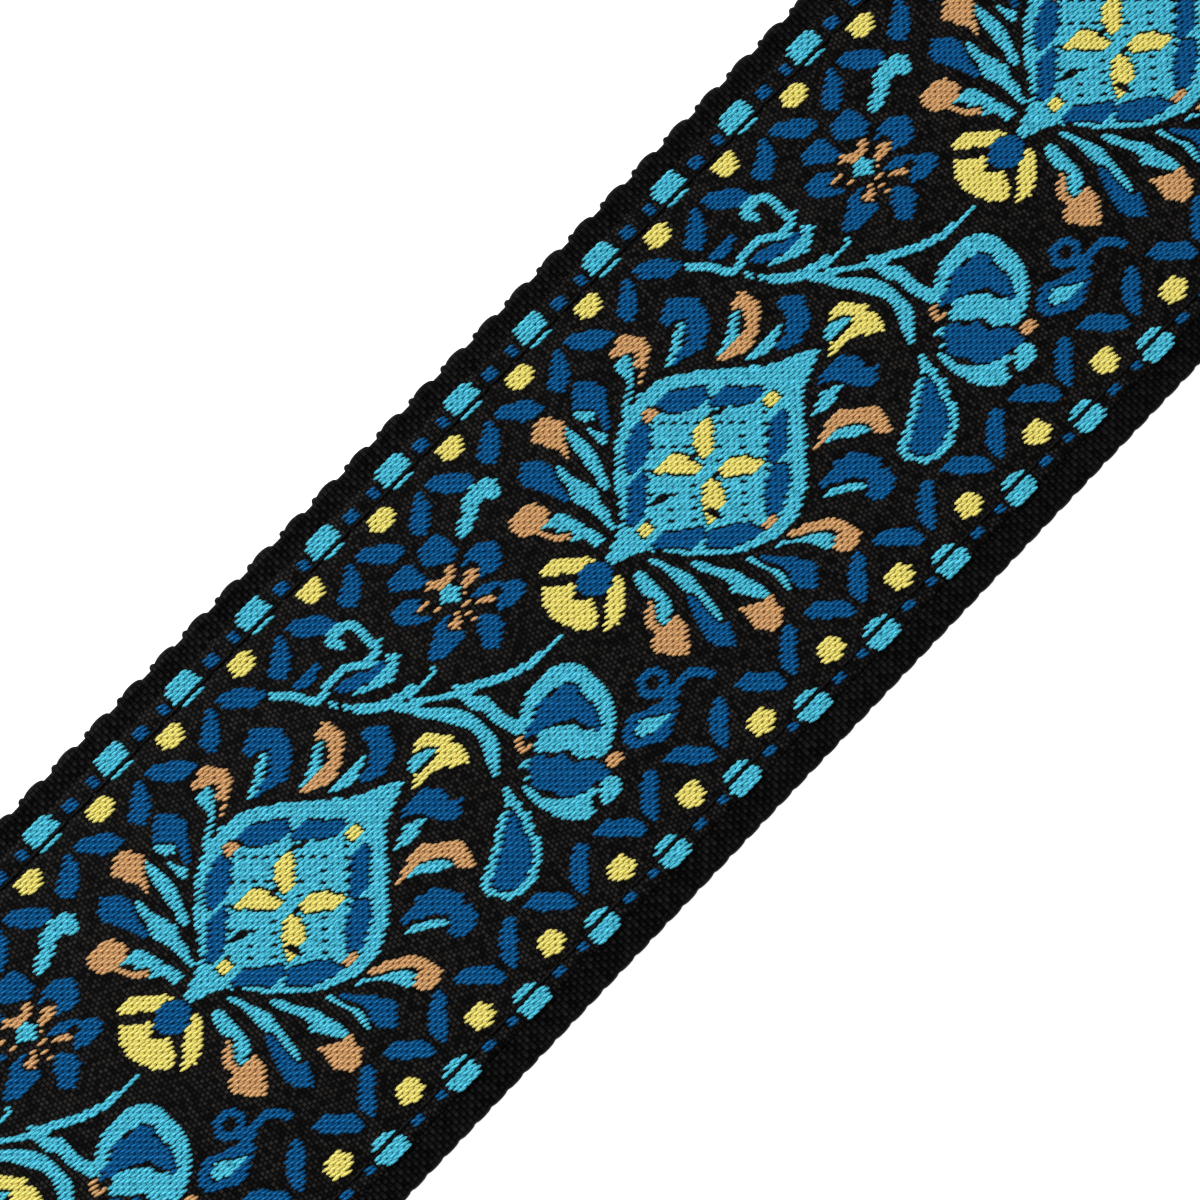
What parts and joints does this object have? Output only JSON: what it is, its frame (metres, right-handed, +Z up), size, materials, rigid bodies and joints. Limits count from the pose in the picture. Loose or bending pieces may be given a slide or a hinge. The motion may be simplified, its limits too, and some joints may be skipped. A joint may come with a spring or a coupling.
{
  "type": "guitar strap",
  "caption": "Adjustable strap: patterned ribbon sewn onto webbing, sliding buckle and ring adjuster, leather ends with button holes.",
  "frame": {"origin": "bottom centre of the bounding box, the strap lying flat and straight, pattern up", "axes": "+X along the strap from the front end to the adjustable tail end, +Y across the strap, +Z up out of the patterned face"},
  "size_m": [1.1772, 0.061, 0.0107],
  "materials": {
    "webbing": "coarse black webbing",
    "jacquard_ribbon": "woven pattern in turquoise, blue, yellow and tan on black",
    "thread": "dull sewing thread",
    "leather": "black, fine grain",
    "moulded_plastic": "black, lightly textured"
  },
  "bodies": {
    "strap": {"webbing_front_ramp": "webbing", "ribbon_front_ramp": "jacquard_ribbon", "edge_stitching_front_ramp": "thread", "webbing_front_run": "webbing", "ribbon_front_run": "jacquard_ribbon", "edge_stitching_front_run": "thread", "webbing_adjuster_run": "webbing", "ribbon_adjuster_run": "jacquard_ribbon", "edge_stitching_adjuster_run": "thread"},
    "front_tab": {"leather_front_top": "leather", "leather_front_bottom": "leather", "front_perimeter_stitching": "thread", "front_box_stitching": "thread", "webbing_front_end": "webbing", "ribbon_front_end": "jacquard_ribbon", "edge_stitching_front_end": "thread"},
    "slider": {"tri_glide": "moulded_plastic", "webbing_slider_wrap": "webbing", "ribbon_slider_wrap": "jacquard_ribbon", "edge_stitching_slider_wrap": "thread", "slider_flap_stitching": "thread", "webbing_foldback_run": "webbing", "ribbon_foldback_run": "jacquard_ribbon", "edge_stitching_foldback_run": "thread"},
    "ring_fold": {"webbing_ring_fold": "webbing", "ribbon_ring_fold": "jacquard_ribbon", "edge_stitching_ring_fold": "thread"},
    "ring": {"rectangular_ring": "moulded_plastic"},
    "tail": {"tail_webbing_loop": "webbing", "leather_tail_top": "leather", "leather_tail_bottom": "leather", "tail_perimeter_stitching": "thread", "tail_box_stitching": "thread"}
  },
  "joints": [
    {"name": "front_tab_flex", "type": "hinge", "parent": "strap", "child": "front_tab", "pos_m": [-0.4924, 0, 0.0027], "axis": [0, 1, 0], "range_deg": [0, 90]},
    {"name": "slider_slide", "type": "slide", "parent": "strap", "child": "slider", "axis": [1, 0, 0], "range_m": [-0.24, 0.19], "deforming": ["webbing_foldback_run", "ribbon_foldback_run", "edge_stitching_foldback_run"]},
    {"name": "ring_slide", "type": "slide", "parent": "strap", "child": "ring_fold", "axis": [1, 0, 0], "range_m": [-0.12, 0.095], "deforming": ["webbing_adjuster_run", "ribbon_adjuster_run", "edge_stitching_adjuster_run"]},
    {"name": "ring_swing", "type": "hinge", "parent": "ring_fold", "child": "ring", "pos_m": [0.4676, 0, 0.00395], "axis": [0, -1, 0], "range_deg": [0, 60]},
    {"name": "tail_swing", "type": "hinge", "parent": "ring", "child": "tail", "pos_m": [0.4836, 0, 0.00395], "axis": [0, -1, 0], "range_deg": [0, 90]}
  ],
  "couplings": [
    {"joint": "ring_slide", "follows": "slider_slide", "ratio": 0.5}
  ]
}
